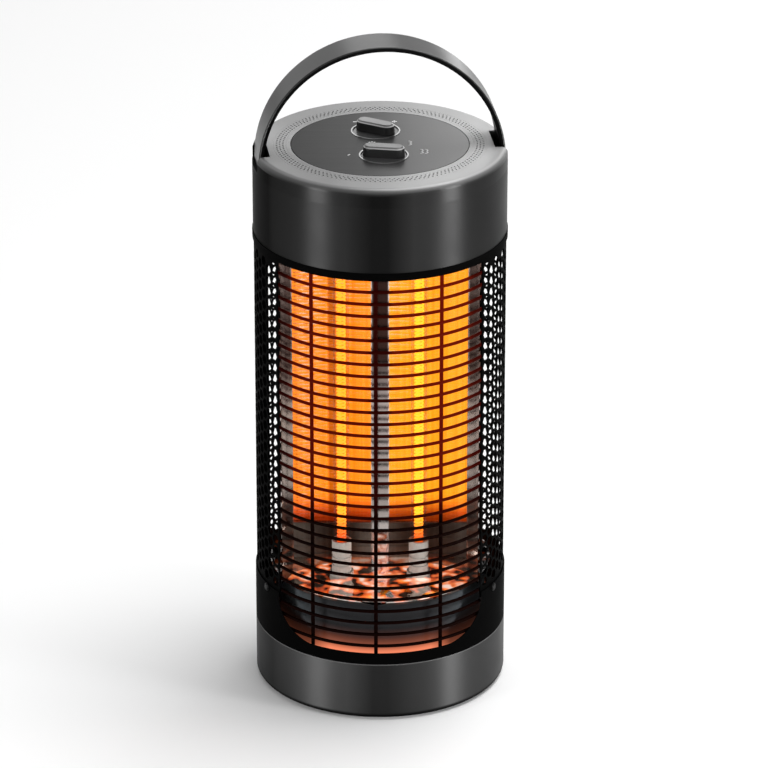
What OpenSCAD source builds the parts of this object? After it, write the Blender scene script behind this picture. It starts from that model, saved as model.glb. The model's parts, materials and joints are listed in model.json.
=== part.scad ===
// Portable infrared patio heater: round base, perforated sleeve with a wire guard in front,
// two upright quartz heating tubes before a double-trough reflector, and a casing with a
// control panel, two bar knobs and a strap handle on top.
// Millimetres, +Z up, front towards -Y, origin on the floor under the axis.

/* [Body] */
// Outer radius of the sleeve and the base
body_r = 100; // [95:1:110]
// Height of the sleeve between base ring and casing
body_h = 333.5; // [310:0.5:360]
// Thickness of the rolled sleeve sheet
sheet_t = 1; // [0.8:0.1:1.4]
// Height of the plain sheet below the side screens
side_sill = 44; // [38:1:52]
// Height of the plain sheet above the window and the screens
head_h = 6; // [6:0.5:10]
// Height of the plain sheet below the front window
window_sill = 9.5; // [8:0.5:13]
// Half angle of the front window, from the front
window_half = 53.5; // [50:0.5:56]
// Radius of the window's lower corners
window_corner = 30; // [16:1:32]
// Half angle of the plain back panel, from the back
back_half = 54; // [48:1:58]

/* [Side screens] */
// Thickness of the perforated screens
screen_t = 0.8; // [0.6:0.1:1.2]
// Distance between neighbouring holes
hole_pitch = 9.3; // [8.8:0.1:11]
// Width of a hexagonal hole across its flats
hole_flats = 7.2; // [5:0.1:7.4]
// Plain edge of a screen along the window
screen_edge = 1.6; // [1.2:0.1:3]
// How far a screen reaches behind the sleeve sheet
screen_tuck = 5; // [4:0.5:6]

/* [Guard] */
// Diameter of the guard's curved wires
wire_d = 2.6; // [2:0.1:3.2]
// Diameter of the guard's upright bars
upright_d = 3; // [2.4:0.1:4]
// Number of curved wires
wire_count = 31; // [24:1:32]
// Height of the lowest wire above the base ring
wire_start = 15; // [12:0.5:18]
// Distance of the highest wire below the casing
wire_end = 16.5; // [12:0.5:24]
// Angle that the wires reach behind the window's edge
wire_tuck = 1.2; // [1:0.1:2]
// Angle between the upright bars
upright_step = 32.5; // [28:0.5:36]
// Turn of the upright bars against the window
upright_turn = -2; // [-5:0.5:5]

/* [Base] */
// Height of the rubber feet
foot_h = 3; // [2.5:0.5:6]
// Radius of a rubber foot
foot_r = 9; // [7:0.5:12]
// Distance of the feet's middles from the base's outline
foot_inset = 32; // [28:1:45]
// Height of the base ring's upper edge above the feet
base_h = 46; // [40:1:55]
// Height of the base ring's lower edge above the floor
base_clear = 1; // [0.5:0.1:2]
// Wall of the base ring
base_t = 2.2; // [1.6:0.1:3]
// Radius of the base ring's lower edge
base_round = 4; // [3:0.5:12]
// Chamfer along the base ring's upper edge
base_chamfer = 0.85; // [0.4:0.05:1.2]
// Width of the base ring's shelf over the bottom plate
shelf_w = 20; // [18:0.5:24]
// Width of the base ring's upper lip
lip_w = 8; // [6:0.5:12]
// Thickness of the bottom plate
bottom_t = 2.4; // [2:0.1:3.5]
// Step of the bottom plate inside the base's outline
bottom_inset = 14; // [12:0.5:15]
// Width of a louvre slot in the bottom plate
slot_w = 2.6; // [2:0.1:4]
// Length of the longest louvre slot
slot_l = 44; // [36:1:50]
// Radius of the cord inlet's bore
inlet_bore_r = 4; // [3:0.25:5]
// Wall of the cord inlet
inlet_wall = 3.4; // [2.5:0.1:5]
// Length of the cord inlet
inlet_l = 12; // [8:0.5:20]
// Height of the cord inlet above the feet
inlet_rise = 19; // [18:0.5:26]

/* [Tip-over switch] */
// Radius of the plunger
plunger_r = 4; // [3:0.25:5]
// Travel of the plunger
plunger_travel = 6; // [4:0.5:7]
// Distance of the plunger behind the axis
plunger_y = 46; // [42:1:52]
// Width of the switch's housing
tip_switch_w = 24; // [20:1:30]
// Depth of the switch's housing
tip_switch_d = 22; // [18:1:26]

/* [Heating chamber] */
// Thickness of the inner plates
plate_t = 1.2; // [0.8:0.1:1.6]
// Radius of the opening in the middle of the deck plate
deck_hole_r = 14; // [10:0.5:14.5]
// Step of the drum inside the floor dish's edge
drum_inset = 4; // [3:0.5:10]
// Height of the chamber floor above the base ring
floor_rise = 49; // [44:0.5:56]
// Step of the floor dish and the ceiling plate inside the sleeve's outline
dish_inset = 12; // [10:0.5:14]
// Depth of the floor dish's turned-down rim
dish_rim = 2.4; // [2:0.2:10]
// Distance of each tube from the middle
tube_x = 30.6; // [26:0.2:33]
// Distance of the tubes in front of the axis
tube_y = 35; // [30:1:42]
// Outer radius of a quartz tube
tube_r = 6; // [5.5:0.1:7]
// Wall of a quartz tube
tube_t = 1; // [0.8:0.1:1.4]
// Wall of a ceramic end round its tube
ceramic_wall = 1.7; // [1.4:0.1:3]
// Length of a lower ceramic end
lower_ceramic_h = 30; // [24:1:36]
// Length of an upper ceramic end
upper_ceramic_h = 24; // [20:1:32]
// Depth of the tube's seat in a ceramic end
ceramic_seat = 6; // [4:0.5:9]
// Depth of the grooves round a ceramic end
ceramic_groove = 0.7; // [0.4:0.1:1]
// Focal length of the reflector's troughs
focal = 20; // [16:0.5:24]
// Distance of the troughs' outer edges from the middle
trough_edge = 70; // [62:0.5:72]
// Half width of the flat ridge between the reflector's troughs
ridge_half = 6; // [3:0.5:9]
// Thickness of the reflector sheet
reflector_t = 1; // [0.6:0.1:1.2]
// Wire diameter of a heating coil
coil_wire_d = 1.5; // [1.2:0.1:1.7]
// Mean radius of a heating coil
coil_r = 3.1; // [2.6:0.1:3.3]
// Turns of a heating coil
coil_turns = 44; // [30:1:45]
// Width of the wiring channel
channel_w = 11; // [8:0.5:16]
// Depth of the wiring channel
channel_d = 8.6; // [6:0.2:9]
// Distance of the terminal block behind the axis
terminal_y = 24; // [24:1:36]
// Distance of the thermal cut-out behind the axis
cutout_y = 36; // [30:1:44]
// Radius of the thermal cut-out's can
cutout_r = 6.5; // [5:0.5:8]

/* [Casing and cap] */
// Height of the casing
casing_h = 53.5; // [50:0.5:70]
// Wall of the casing
casing_t = 1.2; // [1:0.1:1.6]
// Width of the casing's lower flange
casing_flange = 8; // [6:0.5:12]
// Step of the casing inside the sleeve's outline
casing_inset = 0.6; // [0.3:0.1:0.8]
// Height of the cap above the casing
cap_h = 15; // [11:0.5:16]
// Wall of the cap
cap_t = 2.4; // [2.2:0.1:3]
// Radius of the cap's shoulder
shoulder_r = 5; // [4:0.5:10]
// Depth of the cap's spigot inside the casing
spigot_h = 10; // [6:0.5:14]
// Wall of the cap's spigot
spigot_t = 2; // [1.6:0.1:2.4]
// Turn of the cap, panel and handle against the window
top_turn = 7; // [0:0.5:15]
// Thickness of the control panel
panel_t = 2.4; // [2:0.1:3]
// Width of the cap's ledge under the control panel
panel_ledge = 5; // [3:0.5:7]
// Rim of the cap between the control panel and the vent ring
panel_rim = 4; // [2:0.1:5]
// Width of the vent ring
vent_w = 10; // [8:0.5:12]
// Rim of the cap between the vent ring and the handle's pockets
vent_rim = 2.3; // [1.5:0.1:4]
// Thickness of the vent ring
vent_t = 1; // [0.8:0.1:1.2]
// Diameter of a vent hole
vent_hole_d = 1.5; // [1:0.1:1.8]
// Vent holes in a row
vent_count = 132; // [90:1:140]

/* [Controls] */
// Distance of the front knob from the axis
front_knob_y = 24.5; // [22:0.5:30]
// Distance of the rear knob from the axis
rear_knob_y = 28.6; // [24:0.5:32]
// Radius of a knob's round skirt
skirt_r = 17.5; // [17:0.1:19.5]
// Length of a knob's bar
bar_l = 33; // [26:0.5:35]
// Width of a knob's bar at its foot
bar_w = 13; // [10:0.5:16]
// Height of a knob's bar
bar_h = 8.5; // [7:0.5:16]
// Chamfer along the top of a knob's bar
bar_chamfer = 1.6; // [0.6:0.1:2]
// Depth of a knob's well in the panel
well_depth = 7; // [6.5:0.5:10]
// Wall of a knob's well
well_wall = 2; // [1.6:0.1:2.6]
// Turn of the front knob at rest, seen from above
front_knob_turn = -9; // [-90:1:90]
// Turn of the rear knob at rest, seen from above
rear_knob_turn = -30; // [-90:1:90]
// Radius of a control shaft
shaft_r = 3; // [2.5:0.1:3.5]
// Width of the selector switch's housing
switch_w = 32; // [28:1:34]
// Height of the selector switch's housing
switch_h = 22; // [18:1:28]
// Radius of the thermostat's housing
thermostat_r = 17; // [14:0.5:18]
// Height of the thermostat's housing
thermostat_h = 24; // [18:1:28]

/* [Handle] */
// Step of the handle's arch inside the cap's edge
handle_inset = 2.7; // [2.4:0.1:5]
// Thickness of the handle's strap
strap_t = 4; // [3:0.25:5]
// Width of the handle's strap
strap_w = 34; // [26:1:36]
// Radius of the strap's edges
strap_edge = 1.2; // [0.6:0.1:1.4]
// Depth of the handle's tongue inside the casing
tongue_h = 24; // [20:1:30]
// Rise of the handle's arch above its ledge
handle_rise = 1; // [1:0.5:6]
// Room behind the strap in its pocket
pocket_back = 5; // [3:0.5:6]

/* [Hidden] */
$fn = 64;

// Clearances
fit = 0.1;
running_fit = 0.08;
slip = 0.3;
skirt_gap = 0.6;
panel_gap = 0.7;
cut = 1;

// Levels
base_top = foot_h + base_h;
body_top = base_top + body_h;
casing_top = body_top + casing_h;
cap_top = casing_top + cap_h;
ledge_z = casing_top + cap_t;
deck_top = base_top + plate_t;
floor_z = base_top + floor_rise;
shield_z = body_top - plate_t;
ceiling_z = shield_z - plate_t;
bottom_top = foot_h + bottom_t;
panel_under = cap_top - panel_t;
well_floor_z = cap_top - well_depth;
well_floor_t = 2;
well_under = well_floor_z - well_floor_t;

// Radii from outside to inside
sheet_in = body_r - sheet_t;
screen_out = sheet_in - fit;
screen_in = screen_out - screen_t;
wire_r = screen_in - (wire_d + fit) / 2;
upright_r = wire_r - (wire_d + upright_d + slip) / 2;
plate_r = screen_in - fit;
cap_r = body_r - casing_inset;
casing_in = cap_r - casing_t;
spigot_out = casing_in - fit;

// Screws
screw_r = 1.6;
screw_head_r = 3.2;
screw_head_h = 1.5;

// Base
shelf_in_r = body_r - shelf_w;
bottom_r = body_r - bottom_inset;
lip_in_r = body_r - lip_w;
foot_place_r = body_r - foot_inset;
foot_edge = 0.8;
foot_stud_r = foot_r / 3;
base_screw_r = bottom_r - screw_head_r - slip;
base_screw_turn = 15;
slot_rows = 3;
slot_pitch = slot_w + 4.4;
slot_step = 4;
slots_y = -22;
inlet_z = foot_h + inlet_rise;
inlet_r = inlet_bore_r + inlet_wall;
inlet_lip_r = inlet_r + 2.4;
inlet_lip_t = 1;

// Tip-over switch
plunger_foot = 0.3;
plunger_tip = 1;
plunger_flange_r = plunger_r + 2;
plunger_flange_t = 2;
plunger_top = bottom_top + plunger_travel + 10;
tip_switch_h = plunger_travel + 20;

// Sleeve screws and the deck plate's tabs
sleeve_screw_azimuth = [-146, -64, 64, 146];
sleeve_screw_z = base_top + side_sill - screen_tuck / 2;
sleeve_screw_l = 8;
tab_half = 4;
tab_over = 5;
tab_top = sleeve_screw_z + tab_over;
tab_edges = concat(sleeve_screw_azimuth, [sleeve_screw_azimuth[0] + 360]);
rim_top = base_top + window_sill - cut;

// Screen holes
column_step = hole_pitch * sqrt(3) / 2 / body_r * 180 / PI;
hole_half = hole_flats / sqrt(3);
column_start = window_half + (screen_edge + hole_half) / body_r * 180 / PI;
column_end = 180 - back_half - hole_half / body_r * 180 / PI;
column_count = floor((column_end - column_start) / column_step) + 1;
row_low = base_top + side_sill + hole_flats / 2;
row_high = body_top - head_h - hole_flats / 2;
row_count = floor((row_high - row_low) / hole_pitch) + 1;
row_start = (row_low + row_high - (row_count - 1) * hole_pitch) / 2;
screen_low = base_top + side_sill - screen_tuck;
screen_high = body_top - head_h + screen_tuck;
screen_lap = 3;
screen_back = 180 - back_half + screen_lap;

// Guard and chamber
wire_pitch = (body_h - wire_start - wire_end) / (wire_count - 1);
dish_r = body_r - dish_inset;
drum_r = dish_r - drum_inset;
ceramic_r = tube_r + fit + ceramic_wall;
ceramic_foot_r = ceramic_r + 1.6;
ceramic_foot_h = 3;
lead_hole_r = ceramic_r / 2;
tube_low = floor_z + lower_ceramic_h - ceramic_seat;
tube_high = ceiling_z - upper_ceramic_h + ceramic_seat;
terminal_w = 48;
terminal_d = 18;
terminal_h = 16;
terminal_pitch = 12;
terminal_screw_r = 3;
terminal_wire_r = 2.2;
terminal_wire_z = 6;
cutout_flange_r = cutout_r + 2;
cutout_flange_h = 5;
cutout_h = 9;
blade = [0.8, 6, 8];

// Reflector and wiring channel
vertex_y = -tube_y + focal;
wing_gap = 0.6;
wing_turn = window_half + 2;
wing_tip_r = wire_r - wire_d / 2 - wing_gap;
wing_tip = [wing_tip_r * sin(wing_turn), -wing_tip_r * cos(wing_turn)];
reflector_steps = 28;
channel_x = sqrt(pow(plate_r - plate_t - fit, 2) - pow(channel_w / 2, 2));

// Handle, its pockets and its bosses
handle_r = cap_r - handle_inset;
strap_in_r = handle_r - strap_t;
pocket_x = strap_in_r - pocket_back;
pocket_half = strap_w / 2 + 1.2;
tongue_half = strap_w / 2 - strap_edge;
arch_z = ledge_z + handle_rise;
boss_w = 7;
boss_x = strap_in_r - boss_w;
handle_screw_z = ledge_z - tongue_h / 2;
handle_screw_y = tongue_half / 2;

// Vent ring and panel, from outside to inside
vent_out_r = pocket_x - cap_t - vent_rim;
vent_in_r = vent_out_r - vent_w;
vent_rows = 3;
vent_seat = 1.5;
vent_bridges = 12;
vent_bridge = 8;
panel_r = vent_in_r - panel_rim;

// Controls
well_r = skirt_r + skirt_gap;
bezel_t = 1.2;
bezel_r = well_r + bezel_t;
bezel_h = 2.4;
bezel_rise = 0.4;
bush_r = shaft_r + 1.8;
nut_h = 2.4;
nut_r = bush_r + 3.2;
skirt_h = 3;
skirt_low = cap_top - bezel_rise - skirt_h;
bar_low = skirt_low + skirt_h;
bar_taper = 1;
knob_roof = 3;
shaft_top = bar_low + bar_h - knob_roof;
switch_blades = [-9, -3, 3, 9];
thermostat_blades = [-6, 6];

// Places children on the wall at an azimuth from the front, with local -Y pointing outwards
module at_azimuth(azimuth, r, z) {
  rotate([0, 0, azimuth]) translate([0, -r, z]) children();
}

module ring(r_out, r_in, z_low, z_high) {
  translate([0, 0, z_low]) difference() {
    cylinder(r = r_out, h = z_high - z_low);
    translate([0, 0, -cut]) cylinder(r = r_in, h = z_high - z_low + 2 * cut);
  }
}

// A round hole through a plate that lies between two heights
module drill(r, z_low, z_high) {
  translate([0, 0, z_low - cut]) cylinder(r = r, h = z_high - z_low + 2 * cut);
}

// A wall between two azimuths from the front
module arc_wall(r_out, r_in, z_low, z_high, from, to) {
  rotate([0, 0, from - 90])
    rotate_extrude(angle = to - from)
      translate([r_in, z_low]) square([r_out - r_in, z_high - z_low]);
}

// A round sheet cup, open upwards
module cup(r, t, z_low, z_high) {
  difference() {
    translate([0, 0, z_low]) cylinder(r = r, h = z_high - z_low);
    translate([0, 0, z_low + t]) cylinder(r = r - t, h = z_high - z_low);
  }
}

// A round sheet lid, open downwards
module lid(r, t, z_low, z_high) {
  difference() {
    translate([0, 0, z_low]) cylinder(r = r, h = z_high - z_low);
    translate([0, 0, z_low - t]) cylinder(r = r - t, h = z_high - z_low);
  }
}

// What a round corner leaves over: corner at the origin, material towards +x and +y
module corner_sliver(r) {
  difference() {
    translate([-cut, -cut]) square(r + cut);
    translate([r, r]) circle(r);
  }
}

// A cross-section with four round corners, its lower left corner at the origin
module rounded_section(w, h, r) {
  translate([r, 0]) square([w - 2 * r, h]);
  translate([0, r]) square([w, h - 2 * r]);
  for (x = [r, w - r]) for (y = [r, h - r]) translate([x, y]) circle(r);
}

// A screw's head, its crown narrowed to a share of its foot
module round_head() {
  crown = 0.7;
  cylinder(r = screw_head_r, h = screw_head_h / 2);
  translate([0, 0, screw_head_h / 2])
    cylinder(r1 = screw_head_r, r2 = screw_head_r * crown, h = screw_head_h / 2);
}

// Base

module base_profile() {
  difference() {
    translate([shelf_in_r, base_clear]) square([body_r - shelf_in_r, base_top - base_clear]);
    translate([body_r, base_clear]) mirror([1, 0]) corner_sliver(base_round);
    translate([0, base_clear - cut]) square([bottom_r, bottom_top - base_clear + cut]);
    difference() {
      translate([0, bottom_top + base_t])
        square([body_r - base_t, base_h - bottom_t - 2 * base_t]);
      translate([body_r - base_t, bottom_top + base_t])
        mirror([1, 0]) corner_sliver(base_round - base_t);
    }
    translate([0, base_top - base_t - cut]) square([lip_in_r, base_t + 2 * cut]);
    translate([body_r, base_top]) rotate(45) square(base_chamfer * sqrt(2), center = true);
  }
}

module base_ring() {
  color("#4a4a4c") difference() {
    rotate_extrude() base_profile();
    at_azimuth(180, body_r - base_t - cut, inlet_z) rotate([90, 0, 0])
      cylinder(r = inlet_r + fit, h = base_t + 2 * cut);
    at_azimuth(180, body_r - inlet_lip_t - fit, inlet_z) rotate([90, 0, 0])
      cylinder(r = inlet_lip_r + fit, h = inlet_lip_t + cut);
    base_screw_places() drill(screw_r + fit, bottom_top, bottom_top + base_t);
  }
}

module base_screw_places() {
  for (turn = [0:90:270]) at_azimuth(turn + base_screw_turn, base_screw_r, 0) children();
}

module foot_places() {
  for (turn = [45:90:315]) at_azimuth(turn, foot_place_r, 0) children();
}

module bottom_plate() {
  color("#1c1c1e") difference() {
    translate([0, 0, foot_h]) cylinder(r = bottom_r - fit, h = bottom_t);
    base_screw_places() drill(screw_r + fit, foot_h, bottom_top);
    foot_places() drill(foot_stud_r + fit, foot_h, bottom_top);
    translate([0, plunger_y, 0]) drill(plunger_r + running_fit, foot_h, bottom_top);
    for (row = [-slot_rows:slot_rows])
      translate([0, slots_y + row * slot_pitch, foot_h + bottom_t / 2])
        cube([slot_l - slot_step * abs(row), slot_w, bottom_t + 2 * cut], center = true);
  }
}

module rubber_feet() {
  color("#161616") foot_places() {
    cylinder(r1 = foot_r - foot_edge, r2 = foot_r, h = foot_edge);
    translate([0, 0, foot_edge]) cylinder(r = foot_r, h = foot_h - foot_edge);
    translate([0, 0, foot_h - cut]) cylinder(r = foot_stud_r, h = bottom_t + cut);
  }
}

module base_screws() {
  color("#9a9a9a") base_screw_places() {
    translate([0, 0, foot_h]) mirror([0, 0, 1]) round_head();
    translate([0, 0, foot_h - screw_head_h / 2])
      cylinder(r = screw_r, h = bottom_t + base_t + screw_head_h);
  }
}

module cord_inlet() {
  color("#161616") at_azimuth(180, 0, inlet_z) rotate([90, 0, 0]) difference() {
    union() {
      translate([0, 0, body_r - inlet_lip_t]) cylinder(r = inlet_lip_r, h = inlet_lip_t - fit);
      translate([0, 0, body_r - inlet_l]) cylinder(r = inlet_r, h = inlet_l - inlet_lip_t / 2);
    }
    drill(inlet_bore_r, body_r - inlet_l, body_r);
  }
}

module tip_switch() {
  color("#262626") difference() {
    translate([-tip_switch_w / 2, plunger_y - tip_switch_d / 2, bottom_top])
      cube([tip_switch_w, tip_switch_d, tip_switch_h]);
    translate([0, plunger_y, bottom_top - cut])
      cylinder(r = plunger_flange_r + slip, h = plunger_top - bottom_top + cut + slip);
  }
}

module tip_plunger() {
  color("#c8c4ba") translate([0, plunger_y, plunger_foot]) {
    cylinder(r1 = plunger_r - plunger_tip, r2 = plunger_r, h = plunger_tip);
    translate([0, 0, plunger_tip])
      cylinder(r = plunger_r, h = plunger_top - plunger_foot - plunger_tip);
    translate([0, 0, bottom_top + plunger_travel + slip - plunger_foot])
      cylinder(r = plunger_flange_r, h = plunger_flange_t);
  }
}

// A cup whose rim stands up in tabs at the sleeve's screws
module deck_plate() {
  color("#1a1a1b") difference() {
    cup(plate_r, plate_t, base_top, tab_top);
    for (i = [0:len(tab_edges) - 2])
      arc_wall(plate_r + cut, plate_r - plate_t - cut, rim_top, tab_top + cut,
        tab_edges[i] + tab_half, tab_edges[i + 1] - tab_half);
    sleeve_screw_holes();
    drill(deck_hole_r, base_top, deck_top);
  }
}

// Sleeve, screens and guard

module sleeve_screw_places() {
  for (azimuth = sleeve_screw_azimuth) at_azimuth(azimuth, body_r, sleeve_screw_z) children();
}

module sleeve_screw_holes() {
  sleeve_screw_places() rotate([90, 0, 0])
    cylinder(r = screw_r + fit, h = 2 * sleeve_screw_l, center = true);
}

module window_outline() {
  w = body_r * sin(window_half);
  low = base_top + window_sill;
  translate([-w, low + window_corner]) square([2 * w, side_sill]);
  translate([window_corner - w, low]) square([2 * (w - window_corner), side_sill]);
  for (x = [window_corner - w, w - window_corner])
    translate([x, low + window_corner]) circle(window_corner);
}

module sleeve_frame() {
  color("#151516") difference() {
    ring(body_r, sheet_in, base_top, body_top);
    arc_wall(body_r + cut, sheet_in - cut, base_top + side_sill, body_top - head_h,
      back_half - 180, 180 - back_half);
    rotate([90, 0, 0]) linear_extrude(body_r + cut) intersection() {
      window_outline();
      translate([-body_r, 0]) square([2 * body_r, base_top + side_sill + cut]);
    }
    sleeve_screw_holes();
  }
}

// The screen on the +X side: hexagonal holes in staggered columns, points to the sides
module screen() {
  difference() {
    arc_wall(screen_out, screen_in, screen_low, screen_high, window_half, screen_back);
    for (column = [0:column_count - 1])
      for (row = [0:row_count - 1 - column % 2])
        at_azimuth(column_start + column * column_step, body_r,
          row_start + (row + column % 2 / 2) * hole_pitch)
          rotate([90, 0, 0])
            cylinder(r = hole_half, h = 2 * (body_r - screen_in + cut), center = true, $fn = 6);
    sleeve_screw_holes();
  }
}

module screen_right() {
  color("#19191a") screen();
}

module screen_left() {
  color("#19191a") mirror([1, 0, 0]) screen();
}

module sleeve_screws() {
  color("#3a3a3c") sleeve_screw_places() rotate([90, 0, 0]) {
    round_head();
    translate([0, 0, -sleeve_screw_l]) cylinder(r = screw_r, h = sleeve_screw_l + screw_head_h / 2);
  }
}

module guard_wires() {
  reach = window_half + wire_tuck;
  color("#101010")
    for (i = [0:wire_count - 1])
      translate([0, 0, base_top + wire_start + i * wire_pitch]) rotate([0, 0, -90 - reach])
        rotate_extrude(angle = 2 * reach) translate([wire_r, 0]) circle(d = wire_d);
}

// Upright bars that stand on the deck plate and end under the heat shield
module guard_uprights() {
  color("#101010")
    for (azimuth = [-upright_step, 0, upright_step])
      at_azimuth(azimuth + upright_turn, upright_r, deck_top)
        cylinder(d = upright_d, h = shield_z - deck_top);
}

// Heating chamber

module terminal_block() {
  color("#d8d4c8") translate([0, terminal_y, deck_top]) difference() {
    translate([-terminal_w / 2, -terminal_d / 2, 0]) cube([terminal_w, terminal_d, terminal_h]);
    for (i = [-1:1]) translate([i * terminal_pitch, 0, terminal_h / 2]) {
      cylinder(r = terminal_screw_r, h = terminal_h);
      translate([0, 0, terminal_wire_z - terminal_h / 2]) rotate([90, 0, 0])
        cylinder(r = terminal_wire_r, h = terminal_d + 2 * cut, center = true);
    }
  }
}

module lower_drum() {
  color("#3c3e42") ring(drum_r, drum_r - plate_t, deck_top, floor_z - plate_t);
}

module tube_places(z) {
  for (side = [-1, 1]) translate([side * tube_x, -tube_y, z]) children();
}

module floor_dish() {
  color("#c9cbd0") difference() {
    lid(dish_r, plate_t, floor_z - dish_rim, floor_z);
    tube_places(0) drill(lead_hole_r, floor_z - plate_t, floor_z);
    channel_room();
  }
}

// The reflector's front face over its width: a flat ridge in the middle, a parabola behind each
// tube, then a straight wing
function trough_y(x) = vertex_y - pow(max(abs(x), ridge_half) - tube_x, 2) / (4 * focal);

module reflector() {
  front = concat(
    [[-wing_tip[0], wing_tip[1]]],
    [for (i = [-reflector_steps:reflector_steps])
      let (x = i / reflector_steps * trough_edge) [x, trough_y(x)]],
    [wing_tip]
  );
  last = len(front) - 1;
  back = [for (i = [last:-1:0]) front[i] + [0, reflector_t]];
  color("#d5d6d8") translate([0, 0, floor_z])
    linear_extrude(ceiling_z - floor_z) polygon(concat(front, back));
}

module ceiling_plate() {
  color("#c9cbd0") difference() {
    translate([0, 0, ceiling_z]) cylinder(r = dish_r, h = plate_t);
    tube_places(0) drill(lead_hole_r, ceiling_z, shield_z);
    channel_room();
  }
}

module heat_shield() {
  color("#2a2a2c") difference() {
    lid(plate_r, plate_t, body_top - head_h + cut, body_top);
    tube_places(0) drill(lead_hole_r, shield_z, body_top);
  }
}

module quartz_tube() {
  ring(tube_r, tube_r - tube_t, tube_low, tube_high);
}

module quartz_tube_left() {
  color("#f0d8c0", 0.5) translate([-tube_x, -tube_y, 0]) quartz_tube();
}

module quartz_tube_right() {
  color("#f0d8c0", 0.5) translate([tube_x, -tube_y, 0]) quartz_tube();
}

// Heating coil: one wire from the lower seat, out to the coil's radius, up in turns and back
coil_sides = 6;
coil_rings_turn = 8;
coil_lead = coil_wire_d;
coil_ramp = 1;
coil_body = tube_high - tube_low - 2 * coil_lead;
coil_pitch = coil_body / coil_turns;
coil_rings = coil_turns * coil_rings_turn;

function coil_radius(turn) = coil_r * min(1, turn / coil_ramp, (coil_turns - turn) / coil_ramp);
function coil_point(i) =
  let (turn = i / coil_rings_turn, r = coil_radius(turn))
  [r * cos(360 * turn), r * sin(360 * turn), coil_lead + turn * coil_pitch];
coil_path = concat(
  [[0, 0, 0]],
  [for (i = [0:coil_rings]) coil_point(i)],
  [[0, 0, coil_body + 2 * coil_lead]]
);

function unit(v) = v / norm(v);
function coil_direction(i) =
  i <= 1 || i >= len(coil_path) - 2 ? [0, 0, 1] : unit(coil_path[i + 1] - coil_path[i - 1]);
// A ring of points square to the wire; the radial direction keeps the rings from twisting
function coil_ring(i) =
  let (
    along = coil_direction(i),
    turn = max(0, min(coil_turns, (i - 1) / coil_rings_turn)),
    radial = [cos(360 * turn), sin(360 * turn), 0],
    side = unit(radial - along * (radial * along)),
    up = cross(along, side),
    step = 360 / coil_sides
  )
  [for (k = [0:coil_sides - 1])
    coil_path[i] + coil_wire_d / 2 * (side * cos(step * k) + up * sin(step * k))];

module heating_coil() {
  last = len(coil_path) - 1;
  top = last * coil_sides;
  points = [for (i = [0:last]) each coil_ring(i)];
  walls = [for (i = [0:last - 1]) for (k = [0:coil_sides - 1])
    let (a = i * coil_sides + k, b = i * coil_sides + (k + 1) % coil_sides)
    each [[a, b + coil_sides, b], [a, a + coil_sides, b + coil_sides]]];
  low_cap = [for (k = [1:coil_sides - 2]) [0, k, k + 1]];
  high_cap = [for (k = [1:coil_sides - 2]) [top, top + k + 1, top + k]];
  translate([0, 0, tube_low]) polyhedron(points = points, faces = concat(walls, low_cap, high_cap));
}

// Least distance between points of the wire half a turn or more apart, less the wire itself
coil_near = coil_rings_turn / 2;
coil_self_gap = min([
  for (i = [1:coil_rings - coil_near]) for (j = [coil_near:3 * coil_near])
    if (i + j <= coil_rings + 1) norm(coil_path[i + j] - coil_path[i])
]) - coil_wire_d;
echo(coil_self_gap = coil_self_gap);

module heating_coil_left() {
  color("#ff8a1e") translate([-tube_x, -tube_y, 0]) heating_coil();
}

module heating_coil_right() {
  color("#ff8a1e") translate([tube_x, -tube_y, 0]) heating_coil();
}

// A ceramic end: a foot, a barrel with two grooves and the tube's seat at its far end
module ceramic_end(h) {
  groove_w = 2;
  difference() {
    union() {
      cylinder(r = ceramic_foot_r, h = ceramic_foot_h);
      cylinder(r = ceramic_r, h = h);
    }
    translate([0, 0, h - ceramic_seat]) cylinder(r = tube_r + fit, h = ceramic_seat + cut);
    for (i = [1:2])
      let (z = ceramic_foot_h + i * (h - ceramic_foot_h - ceramic_seat) / 3 - groove_w / 2)
        ring(ceramic_r + cut, ceramic_r - ceramic_groove, z, z + groove_w);
  }
}

module lower_ceramic_left() {
  color("#e9e4da") translate([-tube_x, -tube_y, floor_z]) ceramic_end(lower_ceramic_h);
}

module lower_ceramic_right() {
  color("#e9e4da") translate([tube_x, -tube_y, floor_z]) ceramic_end(lower_ceramic_h);
}

module upper_ceramic_left() {
  color("#e9e4da") translate([-tube_x, -tube_y, ceiling_z])
    mirror([0, 0, 1]) ceramic_end(upper_ceramic_h);
}

module upper_ceramic_right() {
  color("#e9e4da") translate([tube_x, -tube_y, ceiling_z])
    mirror([0, 0, 1]) ceramic_end(upper_ceramic_h);
}

// Carries the leads from the base to the casing, open towards the back
module wiring_channel() {
  h = shield_z - deck_top;
  color("#1a1a1b") translate([-channel_x, -channel_w / 2, deck_top]) difference() {
    cube([channel_d, channel_w, h]);
    translate([plate_t, plate_t, -cut])
      cube([channel_d - 2 * plate_t, channel_w, h + 2 * cut]);
  }
}

// Notch that lets the wiring channel pass an inner plate
module channel_room() {
  translate([-body_r, -channel_w / 2 - slip, deck_top])
    cube([body_r - channel_x + channel_d + slip, channel_w + 2 * slip, body_h]);
}

// A row of flat terminals that hang from a height or stand on it
module blades(places, z) {
  for (x = places) translate([x - blade[0] / 2, -blade[1] / 2, z]) cube(blade + [0, 0, cut]);
}

module thermal_cutout() {
  color("#b8b2a4") translate([0, cutout_y, body_top]) {
    cylinder(r = cutout_flange_r, h = cutout_flange_h);
    cylinder(r = cutout_r, h = cutout_h);
    blades([-cutout_r / 2, cutout_r / 2], cutout_h - cut);
  }
}

// Casing and cap

module top_casing() {
  color("#2b2b2d") difference() {
    cup(cap_r, casing_t, body_top, casing_top);
    drill(casing_in - casing_flange, body_top, body_top + casing_t);
  }
}

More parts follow.
